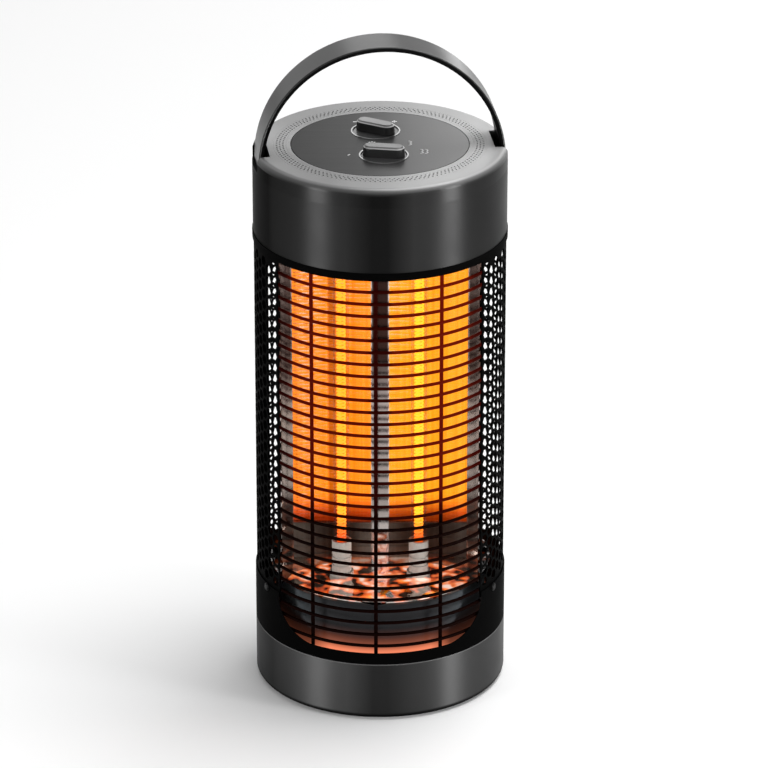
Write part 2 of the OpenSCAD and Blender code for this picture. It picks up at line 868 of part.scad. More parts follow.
module cap_outline(r, top, shoulder) {
  difference() {
    translate([0, casing_top]) square([r, top - casing_top]);
    translate([r, top]) rotate(180) corner_sliver(shoulder);
  }
}

module cap_solid() {
  rotate_extrude() cap_outline(cap_r, cap_top, shoulder_r);
}

module handle_sides() {
  for (side = [0, 180]) rotate([0, 0, top_turn + side]) children();
}

// Slots under the vent ring, with bridges between them
module vent_slots() {
  step = 360 / vent_bridges;
  for (i = [0:vent_bridges - 1])
    arc_wall(vent_out_r - vent_seat, vent_in_r + vent_seat, cap_top - 2 * cap_t, cap_top,
      i * step + top_turn + vent_bridge / 2, (i + 1) * step + top_turn - vent_bridge / 2);
}

module top_cap() {
  ledge_in_r = panel_r - panel_ledge;
  color("#58585b") difference() {
    union() {
      rotate_extrude() difference() {
        cap_outline(cap_r, cap_top, shoulder_r);
        translate([0, -cut]) cap_outline(cap_r - cap_t, cap_top - cap_t + cut, shoulder_r - cap_t);
        square([ledge_in_r, cap_top + cut]);
      }
      rotate_extrude() translate([ledge_in_r, panel_under - cap_t])
        square([panel_ledge + panel_rim, cap_t + panel_t - vent_t]);
      ring(spigot_out, spigot_out - spigot_t, casing_top - spigot_h, ledge_z);
      intersection() {
        cap_solid();
        handle_sides() translate([pocket_x - cap_t, -pocket_half - cap_t, casing_top])
          cube([body_r, 2 * (pocket_half + cap_t), cap_h]);
      }
      handle_sides() translate([boss_x, -tongue_half, ledge_z - tongue_h])
        cube([boss_w - fit, 2 * tongue_half, tongue_h - fit]);
    }
    translate([0, 0, panel_under]) cylinder(r = panel_r + panel_gap, h = panel_t + cut);
    ring(vent_out_r + fit, vent_in_r - fit, cap_top - vent_t, cap_top + cut);
    vent_slots();
    handle_sides() {
      translate([pocket_x, -pocket_half, ledge_z]) cube([body_r, 2 * pocket_half, cap_h]);
      translate([strap_in_r - fit, -tongue_half - fit, ledge_z - tongue_h - cut])
        cube([strap_t + 2 * fit, 2 * (tongue_half + fit), tongue_h + 2 * cut]);
      handle_screw_places() translate([0, 0, -cut]) cylinder(r = screw_r + fit, h = body_r);
    }
  }
}

module vent_ring() {
  row_step = vent_w / (vent_rows + 1);
  color("#4c4c4f") translate([0, 0, cap_top - vent_t]) rotate([0, 0, top_turn])
    linear_extrude(vent_t) difference() {
      circle(vent_out_r);
      circle(vent_in_r);
      for (row = [1:vent_rows]) for (i = [0:vent_count - 1])
        rotate((i + row % 2 / 2) * 360 / vent_count)
          translate([vent_in_r + row * row_step, 0]) circle(d = vent_hole_d);
    }
}

// Controls

module front_knob_place() {
  rotate([0, 0, top_turn]) translate([0, -front_knob_y, 0])
    rotate([0, 0, front_knob_turn - top_turn]) children();
}

module rear_knob_place() {
  rotate([0, 0, top_turn]) translate([0, rear_knob_y, 0])
    rotate([0, 0, rear_knob_turn - top_turn]) children();
}

module knob_places() {
  front_knob_place() children();
  rear_knob_place() children();
}

module control_panel() {
  color("#57585c") difference() {
    union() {
      translate([0, 0, panel_under]) cylinder(r = panel_r, h = panel_t);
      knob_places() translate([0, 0, well_under])
        cylinder(r = well_r + well_wall, h = panel_under - well_under + cut);
    }
    knob_places() {
      translate([0, 0, well_floor_z]) cylinder(r = well_r, h = well_depth + cut);
      translate([0, 0, cap_top - bezel_h]) cylinder(r = bezel_r + fit, h = bezel_h + cut);
      drill(bush_r + fit, well_under, well_floor_z);
    }
  }
}

module bezel() {
  ring(bezel_r, well_r, cap_top - bezel_h, cap_top + bezel_rise);
}

module front_bezel() {
  color("#c4c5c8") front_knob_place() bezel();
}

module rear_bezel() {
  color("#c4c5c8") rear_knob_place() bezel();
}

// A control's housing gets a threaded neck through the well's floor and the shaft's blind bore
module control_body(depth) {
  difference() {
    union() {
      children();
      translate([0, 0, well_under - cut]) cylinder(r = bush_r, h = well_floor_t + nut_h + cut);
    }
    translate([0, 0, well_under - depth])
      cylinder(r = shaft_r + running_fit, h = depth + well_floor_t + nut_h + cut);
  }
}

module selector_switch() {
  color("#d6d2c6") front_knob_place() {
    control_body(switch_h / 2) translate([-switch_w / 2, -switch_w / 2, well_under - switch_h])
      cube([switch_w, switch_w, switch_h]);
    blades(switch_blades, well_under - switch_h - blade[2]);
  }
}

module thermostat_body() {
  color("#cfc9ba") rear_knob_place() {
    control_body(thermostat_h / 2) translate([0, 0, well_under - thermostat_h])
      cylinder(r = thermostat_r, h = thermostat_h);
    blades(thermostat_blades, well_under - thermostat_h - blade[2]);
  }
}

module control_nuts() {
  color("#b9babd") knob_places() translate([0, 0, well_floor_z]) difference() {
    cylinder(r = nut_r, h = nut_h, $fn = 6);
    drill(bush_r + fit, 0, nut_h);
  }
}

module control_shaft(depth) {
  low = well_under - depth + fit;
  translate([0, 0, low]) cylinder(r = shaft_r, h = shaft_top - low);
}

module front_shaft() {
  color("#b9babd") front_knob_place() control_shaft(switch_h / 2);
}

module rear_shaft() {
  color("#b9babd") rear_knob_place() control_shaft(thermostat_h / 2);
}

// One tapered length of bar with round ends
module bar_block(foot_w, top_w, h) {
  reach = bar_l - bar_w;
  for (side = [-1, 1]) translate([side * reach / 2, 0, 0]) cylinder(d1 = foot_w, d2 = top_w, h = h);
  rotate([90, 0, 90]) linear_extrude(reach, center = true)
    polygon([[-foot_w / 2, 0], [foot_w / 2, 0], [top_w / 2, h], [-top_w / 2, h]]);
}

// A round skirt in the well and a tapered bar with a chamfered top
module bar_knob() {
  waist_w = bar_w - bar_taper;
  difference() {
    union() {
      translate([0, 0, skirt_low]) cylinder(r = skirt_r, h = skirt_h);
      translate([0, 0, bar_low]) bar_block(bar_w, waist_w, bar_h - bar_chamfer);
      translate([0, 0, bar_low + bar_h - bar_chamfer])
        bar_block(waist_w, waist_w - 2 * bar_chamfer, bar_chamfer);
    }
    translate([0, 0, skirt_low - cut])
      cylinder(r = shaft_r + running_fit / 2, h = shaft_top - skirt_low + cut);
  }
}

module front_knob() {
  color("#3a3b3e") front_knob_place() bar_knob();
}

module rear_knob() {
  color("#3a3b3e") rear_knob_place() bar_knob();
}

// Handle

module handle_screw_places() {
  for (y = [-handle_screw_y, handle_screw_y])
    translate([boss_x, y, handle_screw_z]) rotate([0, 90, 0]) children();
}

module handle_strap() {
  color("#333335") difference() {
    union() {
      translate([0, 0, arch_z]) rotate([0, 0, top_turn]) rotate([90, 0, 0])
        rotate_extrude(angle = 180)
          translate([strap_in_r, -strap_w / 2]) rounded_section(strap_t, strap_w, strap_edge);
      handle_sides() translate([strap_in_r, -tongue_half, ledge_z - tongue_h])
        cube([strap_t, 2 * tongue_half, tongue_h + handle_rise + cut]);
    }
    handle_sides() handle_screw_places() cylinder(r = screw_r + fit, h = body_r);
  }
}

module handle_screws() {
  color("#9a9a9a") handle_sides() handle_screw_places() {
    mirror([0, 0, 1]) round_head();
    translate([0, 0, -screw_head_h / 2])
      cylinder(r = screw_r, h = handle_r - boss_x + screw_head_h / 2);
  }
}

base_ring();
bottom_plate();
rubber_feet();
base_screws();
cord_inlet();
tip_switch();
tip_plunger();
deck_plate();
terminal_block();
lower_drum();
floor_dish();
sleeve_frame();
screen_left();
screen_right();
sleeve_screws();
guard_wires();
guard_uprights();
reflector();
ceiling_plate();
heat_shield();
quartz_tube_left();
quartz_tube_right();
heating_coil_left();
heating_coil_right();
lower_ceramic_left();
lower_ceramic_right();
upper_ceramic_left();
upper_ceramic_right();
wiring_channel();
thermal_cutout();
top_casing();
top_cap();
vent_ring();
control_panel();
front_bezel();
rear_bezel();
selector_switch();
thermostat_body();
control_nuts();
front_shaft();
rear_shaft();
front_knob();
rear_knob();
handle_strap();
handle_screws();
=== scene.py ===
"""Infrared patio heater: finishes, glowing coils, mirror sheet, knobs, printed marks, light and camera."""
import json
import math

import bmesh
import bpy
from mathutils import Matrix, Vector


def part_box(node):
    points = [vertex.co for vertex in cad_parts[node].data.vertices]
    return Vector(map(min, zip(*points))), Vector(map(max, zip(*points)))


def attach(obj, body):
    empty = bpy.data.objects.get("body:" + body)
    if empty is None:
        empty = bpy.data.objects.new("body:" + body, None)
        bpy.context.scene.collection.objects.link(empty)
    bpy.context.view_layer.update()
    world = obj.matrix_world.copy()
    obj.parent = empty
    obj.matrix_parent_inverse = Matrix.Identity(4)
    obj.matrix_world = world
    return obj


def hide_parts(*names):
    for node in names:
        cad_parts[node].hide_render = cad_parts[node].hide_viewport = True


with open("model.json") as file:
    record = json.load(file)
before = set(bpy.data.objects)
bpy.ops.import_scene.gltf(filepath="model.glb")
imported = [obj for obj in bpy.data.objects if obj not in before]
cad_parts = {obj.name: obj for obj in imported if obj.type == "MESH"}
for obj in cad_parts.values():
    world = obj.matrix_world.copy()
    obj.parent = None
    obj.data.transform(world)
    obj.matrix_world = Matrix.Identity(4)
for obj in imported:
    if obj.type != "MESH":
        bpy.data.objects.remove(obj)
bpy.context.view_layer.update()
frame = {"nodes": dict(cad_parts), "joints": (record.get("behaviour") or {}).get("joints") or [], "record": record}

MM = 0.001
HEATER = "heater"

# Camera, fitted to the photograph's 768 by 768 frame
CAMERA_DISTANCE = 4.0
CAMERA_ELEVATION = math.radians(23.6)
CAMERA_AIM = Vector((0.0031, 0, 0.2474))
CAMERA_LENS = 236.6
CAMERA_REACH = 60

# Shared sizes of the heater, in metres
BODY_R = 100 * MM
TOP_TURN = math.radians(7)
PANEL_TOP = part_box("control_panel")[1].z
MIRROR_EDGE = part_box("reflector")[1].x
TROUGH_EDGE = 70 * MM
RIDGE_HALF = 6 * MM
TROUGH_HALF = 30.6 * MM

# Middle of the darker streak beside the left tube
STREAK_X = -38 * MM

# Glow of the coils, and a glow painted in as emission where they would light near the foot
COIL_GLOW = 2.2
FOOT_GLOW = (0.75, 0.2, 0.1)
FOOT_GLOW_HALF = 40 * MM

# Heights at which the mirror changes: foot, end of the coils' image, lighter middle, dark top
MIRROR_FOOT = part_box("reflector")[0].z
IMAGE_END = 150 * MM
MIDDLE_BAND = 240 * MM
DARK_TOP = 280 * MM
MIRROR_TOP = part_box("reflector")[1].z

# Middle of the handle's arch, as a height
ARCH_Z = 440 * MM

# Sheen painted on the sleeve: dull before the first of these places, from the front, satin from the second
SHEEN_PAINTED_FROM = 10 * MM
SHEEN_PAINTED_FULL = 90 * MM

# Range that holds most values of a noise
NOISE_LOW = 0.3
NOISE_HIGH = 0.7

# Scales of the noises used in several finishes: cloudy lacquer, and its fine grain
CLOUD = 18
FINE = 2000

# How far the highlights of rolled walls are drawn out
WALL_SHEEN = 0.8


def place_camera():
    """Stands the camera in front of the heater, looking down at it."""
    data = bpy.data.cameras.new("camera")
    data.lens = CAMERA_LENS
    data.clip_end = CAMERA_REACH
    camera = bpy.data.objects.new("camera", data)
    bpy.context.scene.collection.objects.link(camera)
    back = Vector((0, -math.cos(CAMERA_ELEVATION), math.sin(CAMERA_ELEVATION)))
    camera.location = CAMERA_AIM + back * CAMERA_DISTANCE
    camera.rotation_euler = (-back).to_track_quat("-Z", "Y").to_euler()
    bpy.context.scene.camera = camera


# Finishes


def start_finish(name, colour, roughness, metallic=0.0, specular=0.5):
    """A principled shader with its plain values set on its own sockets."""
    finish = bpy.data.materials.new(name)
    finish.use_nodes = True
    shader = finish.node_tree.nodes["Principled BSDF"]
    shader.inputs["Base Color"].default_value = (*colour, 1)
    shader.inputs["Roughness"].default_value = roughness
    shader.inputs["Metallic"].default_value = metallic
    shader.inputs["Specular IOR Level"].default_value = specular
    return finish, finish.node_tree, shader


def grain(tree, scale, stretch=(1, 1, 1), turn=0.0, detail=4.0):
    """Noise on the piece's own coordinates, stretched along its axes and turned about Z."""
    place = tree.nodes.new("ShaderNodeTexCoord")
    mapping = tree.nodes.new("ShaderNodeMapping")
    mapping.inputs["Rotation"].default_value = (0, 0, turn)
    mapping.inputs["Scale"].default_value = stretch
    noise = tree.nodes.new("ShaderNodeTexNoise")
    noise.inputs["Scale"].default_value = scale
    noise.inputs["Detail"].default_value = detail
    tree.links.new(place.outputs["Object"], mapping.inputs["Vector"])
    tree.links.new(mapping.outputs["Vector"], noise.inputs["Vector"])
    return noise.outputs["Fac"]


def along_axis(tree, axis):
    """A point's place along one of the heater's axes, in metres."""
    place = tree.nodes.new("ShaderNodeTexCoord")
    split = tree.nodes.new("ShaderNodeSeparateXYZ")
    tree.links.new(place.outputs["Object"], split.inputs["Vector"])
    return split.outputs[axis]


def ramp(tree, value, stops):
    """A colour ramp over a value, from (position, colour) stops."""
    node = tree.nodes.new("ShaderNodeValToRGB")
    elements = node.color_ramp.elements
    while len(elements) < len(stops):
        elements.new(0.5)
    for element, (position, colour) in zip(elements, stops):
        element.position = position
        element.color = (*colour, 1)
    tree.links.new(value, node.inputs["Fac"])
    return node.outputs["Color"]


def span(tree, value, low, high, out_low, out_high):
    """Maps a value from one range to another, held at the ends."""
    node = tree.nodes.new("ShaderNodeMapRange")
    for socket, number in zip(("From Min", "From Max", "To Min", "To Max"), (low, high, out_low, out_high)):
        node.inputs[socket].default_value = number
    tree.links.new(value, node.inputs["Value"])
    return node.outputs["Result"]


def roughen(tree, shader, value, low, high):
    """Varies the roughness with a noise."""
    tree.links.new(span(tree, value, NOISE_LOW, NOISE_HIGH, low, high), shader.inputs["Roughness"])


def tint(tree, shader, value, dark, light):
    """Varies the base colour with a noise."""
    tree.links.new(ramp(tree, value, [(NOISE_LOW, dark), (NOISE_HIGH, light)]), shader.inputs["Base Color"])


def emboss(tree, shader, value, distance, strength):
    """Raises the surface with a noise, by a distance in metres."""
    bump = tree.nodes.new("ShaderNodeBump")
    bump.inputs["Distance"].default_value = distance
    bump.inputs["Strength"].default_value = strength
    tree.links.new(value, bump.inputs["Height"])
    tree.links.new(bump.outputs["Normal"], shader.inputs["Normal"])


def grey(level):
    """A neutral colour."""
    return (level, level, level)


def blend(tree, mode, factor, first, second):
    """Mixes two colour sockets; the factor is a number or a socket."""
    node = tree.nodes.new("ShaderNodeMix")
    node.data_type = "RGBA"
    node.blend_type = mode
    if isinstance(factor, (int, float)):
        node.inputs["Factor"].default_value = factor
    else:
        tree.links.new(factor, node.inputs["Factor"])
    tree.links.new(first, node.inputs["A"])
    tree.links.new(second, node.inputs["B"])
    return node.outputs["Result"]


def times(tree, first, second):
    """The product of two colour sockets."""
    return blend(tree, "MULTIPLY", 1.0, first, second)


def over_height(tree, stops):
    """A colour that changes with height, from (height, colour) stops in metres."""
    low, high = stops[0][0], stops[-1][0]
    along = span(tree, along_axis(tree, "Z"), low, high, 0, 1)
    return ramp(tree, along, [((z - low) / (high - low), colour) for z, colour in stops])


def over_width(tree, stops):
    """A grey that changes from left to right, from (distance, level) stops in metres."""
    low, high = stops[0][0], stops[-1][0]
    across = span(tree, along_axis(tree, "X"), low, high, 0, 1)
    return ramp(tree, across, [((x - low) / (high - low), grey(level)) for x, level in stops])


def paint_sheen_bands(tree, shader, specular, shares, foot=None):
    """Paints highlight bands on a rolled wall from left to right, from (distance, share) stops.

    A foot, as a height, takes the sheen away from there down: painted shade.
    """
    painted_sheen = over_width(tree, [(x * MM, share * specular) for x, share in shares])
    # A foot takes the sheen away below it: painted shade.
    if foot:
        dull = over_height(tree, [
            (foot - 5 * MM, grey(0.05)), (foot - 1.5 * MM, grey(0.08)),
            (foot, grey(1)), (foot + 5 * MM, grey(1)),
        ])
        painted_sheen = times(tree, painted_sheen, dull)
    tree.links.new(painted_sheen, shader.inputs["Specular IOR Level"])


def draw_sheen(shader, amount):
    """Draws the highlights of a rolled wall out upwards, as rubbing round it does."""
    shader.inputs["Anisotropic"].default_value = amount
    shader.inputs["Anisotropic Rotation"].default_value = 0.25


def satin_paint(name, level, roughness, specular, grain_size, depth, sheen=0.0, shares=None):
    """Sprayed satin lacquer with a fine grain and a faint cloudiness."""
    finish, tree, shader = start_finish(name, grey(level), roughness, 0.0, specular)
    draw_sheen(shader, sheen)
    # Shares paint bands of sheen across the wall: painted highlights.
    if shares:
        paint_sheen_bands(tree, shader, specular, shares)
    fine = grain(tree, 1 / grain_size, detail=2)
    cloud = grain(tree, CLOUD, detail=3)
    tint(tree, shader, fine, grey(level * 0.86), grey(level * 1.14))
    roughen(tree, shader, cloud, roughness * 0.9, roughness * 1.1)
    emboss(tree, shader, fine, depth, 0.35)
    return finish


def sleeve_sheet():
    """Black powder coat with painted sheen: dead dull at the front, satin round the back."""
    finish = satin_paint("black_sheet", 0.0015, roughness=0.5, specular=0.003, grain_size=0.0006,
                         depth=0.00004)
    tree = finish.node_tree
    # Painted sheen, rising towards the back.
    behind = span(tree, along_axis(tree, "Y"), SHEEN_PAINTED_FROM, SHEEN_PAINTED_FULL, 0, 1)
    painted_sheen = ramp(tree, behind, [
        (0.0, grey(0.003)), (0.25, grey(0.01)), (0.5, grey(0.04)), (0.75, grey(0.13)), (1.0, grey(0.26)),
    ])
    tree.links.new(painted_sheen, tree.nodes["Principled BSDF"].inputs["Specular IOR Level"])
    return finish


def lacquer_with_painted_light(name, stops, roughness, specular, grain_size, depth, sheen=0.0, shares=None, foot=None):
    """Satin lacquer with light and shade painted in by height, from (height, level) stops in metres."""
    finish, tree, shader = start_finish(name, grey(stops[-1][1]), roughness, 0.0, specular)
    draw_sheen(shader, sheen)
    if shares:
        paint_sheen_bands(tree, shader, specular, shares, foot)
    tone = over_height(tree, [(z, grey(level)) for z, level in stops])
    fine = grain(tree, 1 / grain_size, detail=2)
    speckle = ramp(tree, fine, [(NOISE_LOW, grey(0.86)), (NOISE_HIGH, grey(1.0))])
    tree.links.new(times(tree, tone, speckle), shader.inputs["Base Color"])
    roughen(tree, shader, grain(tree, CLOUD, detail=3), roughness * 0.9, roughness * 1.1)
    emboss(tree, shader, fine, depth, 0.35)
    return finish


BRUSHING = 0.2


def brushed_metal(name, level, roughness, stretch):
    """Metal brushed in one direction: long fine lines in colour, roughness and height."""
    finish, tree, shader = start_finish(name, grey(level), roughness, 1.0)
    lines = grain(tree, 1, stretch, detail=6)
    tint(tree, shader, lines, grey(level * (1 - BRUSHING)), grey(level * (1 + BRUSHING)))
    roughen(tree, shader, lines, roughness * 0.9, roughness * 1.15)
    emboss(tree, shader, lines, 0.00003, BRUSHING)
    return finish


def cap_lacquer():
    """Lacquer with painted light: dark down its wall, light on its shoulder and top, lighter to the right."""
    finish, tree, shader = start_finish("cap_paint", grey(0.2), 0.36)
    draw_sheen(shader, WALL_SHEEN)
    # Painted shade and light by height, and lighter towards the right.
    tone = over_height(tree, [
        (PANEL_TOP - 6 * MM, grey(0.003)), (PANEL_TOP - 4 * MM, grey(0.012)),
        (PANEL_TOP - 1.5 * MM, grey(0.11)), (PANEL_TOP - 0.4 * MM, grey(0.4)), (PANEL_TOP, grey(0.4)),
    ])
    painted_side_light = over_width(tree, [
        (-BODY_R, 0.29), (-40 * MM, 0.36), (0, 0.55), (35 * MM, 0.82), (75 * MM, 0.96), (BODY_R, 0.82),
    ])
    fine = grain(tree, FINE, detail=2)
    tree.links.new(times(tree, tone, painted_side_light), shader.inputs["Base Color"])
    # The wall takes the casing's painted highlight bands; the top a higher painted sheen.
    wall = over_width(tree, [(x * MM, share * CASING_SPECULAR) for x, share in CASING_PAINTED_SHEEN])
    top = over_height(tree, [
        (PANEL_TOP - 6 * MM, grey(0.0)), (PANEL_TOP - 3 * MM, grey(0.4)), (PANEL_TOP, grey(0.6)),
    ])
    painted_sheen = blend(tree, "LIGHTEN", 1.0, wall, top)
    tree.links.new(painted_sheen, shader.inputs["Specular IOR Level"])
    roughen(tree, shader, grain(tree, CLOUD, detail=3), 0.33, 0.39)
    emboss(tree, shader, fine, 0.00003, 0.35)
    return finish


def panel_sheet():
    """Brushed gunmetal with painted light: its colour and its metallic tint lighten to the right."""
    finish, tree, shader = start_finish("panel_metal", grey(0.12), 0.36, 1.0)
    lines = grain(tree, 1, (12, 1500, 12), TOP_TURN, detail=6)
    # Painted light: lighter to the right.
    tone = over_width(tree, [(-70 * MM, 0.03), (-20 * MM, 0.04), (25 * MM, 0.09), (70 * MM, 0.15)])
    brushing = ramp(tree, lines, [(NOISE_LOW, grey(0.75)), (NOISE_HIGH, grey(1.0))])
    tree.links.new(times(tree, tone, brushing), shader.inputs["Base Color"])
    painted_side_tint = over_width(tree, [
        (-70 * MM, 0.62), (-28 * MM, 0.69), (0, 0.75), (27 * MM, 0.88), (70 * MM, 0.97),
    ])
    tree.links.new(painted_side_tint, shader.inputs["Specular Tint"])
    roughen(tree, shader, lines, 0.32, 0.41)
    emboss(tree, shader, lines, 0.00003, BRUSHING)
    return finish


def strap_lacquer():
    """The strap's dark lacquer: satin outside; its sheen taken away on the hand's side, painted shade."""
    finish, tree, shader = start_finish("handle_paint", grey(0.006), 0.3)
    place = tree.nodes.new("ShaderNodeTexCoord")
    out = tree.nodes.new("ShaderNodeVectorMath")
    out.operation = "SUBTRACT"
    out.inputs[1].default_value = (0, 0, ARCH_Z)
    facing = tree.nodes.new("ShaderNodeVectorMath")
    facing.operation = "DOT_PRODUCT"
    tree.links.new(place.outputs["Object"], out.inputs[0])
    tree.links.new(out.outputs["Vector"], facing.inputs[0])
    tree.links.new(place.outputs["Normal"], facing.inputs[1])
    # Painted shade: almost no sheen on the hand's side.
    outside = span(tree, facing.outputs["Value"], 0.03, 0.06, 0, 1)
    painted_sheen = ramp(tree, outside, [(0.0, grey(0.01)), (1.0, grey(0.3))])
    tree.links.new(painted_sheen, shader.inputs["Specular IOR Level"])
    fine = grain(tree, FINE, detail=2)
    tint(tree, shader, fine, grey(0.003), grey(0.005))
    roughen(tree, shader, grain(tree, CLOUD, detail=3), 0.27, 0.33)
    emboss(tree, shader, fine, 0.00002, 0.35)
    return finish


def guard_enamel():
    """Black enamel with a dark red glow painted on as emission in front of the coils' image."""
    finish, tree, shader = start_finish("guard_wire", (0.004, 0.001, 0.0006), 0.5, 0.0, 0.006)
    fine = grain(tree, FINE, detail=3)
    tint(tree, shader, fine, (0.003, 0.0008, 0.0005), (0.005, 0.0012, 0.0008))
    # Painted glow: dark red emission by height and across the troughs.
    painted_glow_rise = over_height(tree, [
        (IMAGE_END + 20 * MM, (0, 0, 0)), (IMAGE_END + 45 * MM, (0.11, 0.004, 0.001)),
        (MIRROR_TOP, (0.13, 0.005, 0.001)),
    ])
    painted_glow_spots = over_width(tree, [
        (-TROUGH_EDGE - 3 * MM, 0.1), (-TROUGH_EDGE + 3 * MM, 0.65),
        (-RIDGE_HALF - 5 * MM, 0.75), (-RIDGE_HALF, 0.15), (RIDGE_HALF, 0.15), (RIDGE_HALF + 5 * MM, 1.0),
        (TROUGH_EDGE - 3 * MM, 1.0), (TROUGH_EDGE + 3 * MM, 0.3),
    ])
    tree.links.new(times(tree, painted_glow_rise, painted_glow_spots), shader.inputs["Emission Color"])
    shader.inputs["Emission Strength"].default_value = 1.0
    emboss(tree, shader, fine, 0.00002, 0.4)
    return finish


def mirror_sheet():
    """Polished reflector sheet: painted shade below the coils' image, ridge and wings toned by height, a darker
    streak by the left tube.
    """
    finish, tree, shader = start_finish("mirror_sheet", (0.6, 0.57, 0.55), 0.08, 1.0)
    streak = grain(tree, 1, (260, 260, 3), detail=4)
    sheen = ramp(tree, streak, [(NOISE_LOW, (0.52, 0.46, 0.42)), (NOISE_HIGH, (0.68, 0.62, 0.58))])
    # Painted shade: the troughs darker below the coils' image.
    foot_shade = over_height(tree, [
        (MIRROR_FOOT, grey(0.55)), (IMAGE_END - 10 * MM, grey(0.4)),
        (IMAGE_END + 5 * MM, grey(1)), (MIRROR_TOP, grey(1)),
    ])
    trough = times(tree, sheen, foot_shade)
    streak_colour = (0.2, 0.15, 0.12)
    trough = blend(tree, "MIX", over_width(tree, [
        (-MIRROR_EDGE, 0), (STREAK_X - 4 * MM, 0), (STREAK_X - 2 * MM, 0.75), (STREAK_X + 2 * MM, 0.75),
        (STREAK_X + 4 * MM, 0), (MIRROR_EDGE, 0),
    ]), trough, over_height(tree, [(MIRROR_FOOT, streak_colour), (MIRROR_TOP, streak_colour)]))
    ridge = over_height(tree, [
        (MIRROR_FOOT, (0.6, 0.57, 0.55)), (IMAGE_END, (0.3, 0.26, 0.24)), (MIDDLE_BAND, (0.38, 0.32, 0.3)),
        (DARK_TOP, (0.04, 0.02, 0.016)), (MIRROR_TOP, (0.03, 0.015, 0.012)),
    ])
    wings = over_height(tree, [
        (MIRROR_FOOT, (0.05, 0.045, 0.04)), (IMAGE_END, (0.1, 0.09, 0.085)),
        (IMAGE_END + 20 * MM, (0.4, 0.36, 0.34)), (MIDDLE_BAND, (0.45, 0.38, 0.35)),
        (DARK_TOP, (0.08, 0.05, 0.04)), (MIRROR_TOP, (0.06, 0.035, 0.03)),
    ])
    on_ridge = over_width(tree, [
        (-MIRROR_EDGE, 0), (-RIDGE_HALF - MM, 0), (-RIDGE_HALF, 1), (RIDGE_HALF, 1),
        (RIDGE_HALF + MM, 0), (MIRROR_EDGE, 0),
    ])
    on_wings = over_width(tree, [
        (-MIRROR_EDGE, 1), (-TROUGH_EDGE, 1), (-TROUGH_EDGE + MM, 0), (TROUGH_EDGE - MM, 0), (TROUGH_EDGE, 1),
        (MIRROR_EDGE, 1),
    ])
    with_ridge = blend(tree, "MIX", on_ridge, trough, ridge)
    tree.links.new(blend(tree, "MIX", on_wings, with_ridge, wings), shader.inputs["Base Color"])
    roughen(tree, shader, streak, 0.05, 0.11)
    emboss(tree, shader, grain(tree, 1, (40, 40, 6), detail=2), 0.0003, 0.25)
    return finish


def dish_sheet():
    """The dish's polished sheet, beaten into hollows, the coils' glow painted in as emission; darker at rim and
    flanks.
    """
    finish, tree, shader = start_finish("dish_sheet", (0.66, 0.63, 0.61), 0.06, 1.0)
    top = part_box("floor_dish")[1].z
    hollow = grain(tree, 46, detail=1)
    sheen = ramp(tree, grain(tree, 300, detail=3), [
        (NOISE_LOW, (0.55, 0.5, 0.46)), (NOISE_HIGH, (0.72, 0.68, 0.64)),
    ])
    rim = over_height(tree, [
        (top - 2 * MM, grey(0.04)), (top - 0.8 * MM, grey(0.06)), (top - 0.5 * MM, grey(1)), (top, grey(1)),
    ])
    flanks = over_width(tree, [
        (-MIRROR_EDGE, 0.05), (-TROUGH_EDGE - 6 * MM, 0.1), (-TROUGH_EDGE, 1), (TROUGH_EDGE, 1),
        (TROUGH_EDGE + 6 * MM, 0.1), (MIRROR_EDGE, 0.05),
    ])
    rim = times(tree, rim, flanks)
    tree.links.new(times(tree, sheen, rim), shader.inputs["Base Color"])
    # Painted glow: emission in patches, kept off the rim and flanks.
    painted_glow_patches = ramp(tree, grain(tree, 85, detail=1.5), [
        (0.44, (0, 0, 0)), (0.5, (0.5, 0.06, 0.012)), (0.58, (0.8, 0.19, 0.05)), (0.68, (0.85, 0.62, 0.52)),
    ])
    tree.links.new(times(tree, painted_glow_patches, rim), shader.inputs["Emission Color"])
    shader.inputs["Emission Strength"].default_value = 1.0
    roughen(tree, shader, hollow, 0.04, 0.1)
    emboss(tree, shader, hollow, 0.006, 0.8)
    return finish


ENAMEL_ROUGHNESS = 0.4


def sheet_with_painted_glow(name, middle, sides, specular, stops):
    """Dark enamel with painted light: paler sides as painted sheen, the coils' glow painted in near the middle of
    its foot.
    """
    finish, tree, shader = start_finish(name, middle, ENAMEL_ROUGHNESS, 0.0, specular)
    glow = over_height(tree, [(z, tuple(c * strength for c in FOOT_GLOW)) for z, strength in stops])
    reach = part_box("lower_drum")[1].x
    lit = over_width(tree, [
        (-reach, 0.04), (-FOOT_GLOW_HALF - 16 * MM, 0.15), (-FOOT_GLOW_HALF, 1), (FOOT_GLOW_HALF, 1),
        (FOOT_GLOW_HALF + 16 * MM, 0.15), (reach, 0.04),
    ])
    tree.links.new(times(tree, glow, lit), shader.inputs["Emission Color"])
    shader.inputs["Emission Strength"].default_value = 1.0
    # Painted sheen: paler towards the sides.
    across = span(tree, along_axis(tree, "X"), -reach, reach, 0, 1)
    tone = ramp(tree, across, [(0.0, sides), (0.22, middle), (0.78, middle), (1.0, sides)])
    fine = grain(tree, 900, detail=2)
    speckle = ramp(tree, fine, [(NOISE_LOW, grey(0.82)), (NOISE_HIGH, grey(1.0))])
    tree.links.new(times(tree, tone, speckle), shader.inputs["Base Color"])
    roughen(tree, shader, grain(tree, 25, detail=3), ENAMEL_ROUGHNESS * 0.9, ENAMEL_ROUGHNESS * 1.1)
    emboss(tree, shader, fine, 0.00003, 0.3)
    return finish


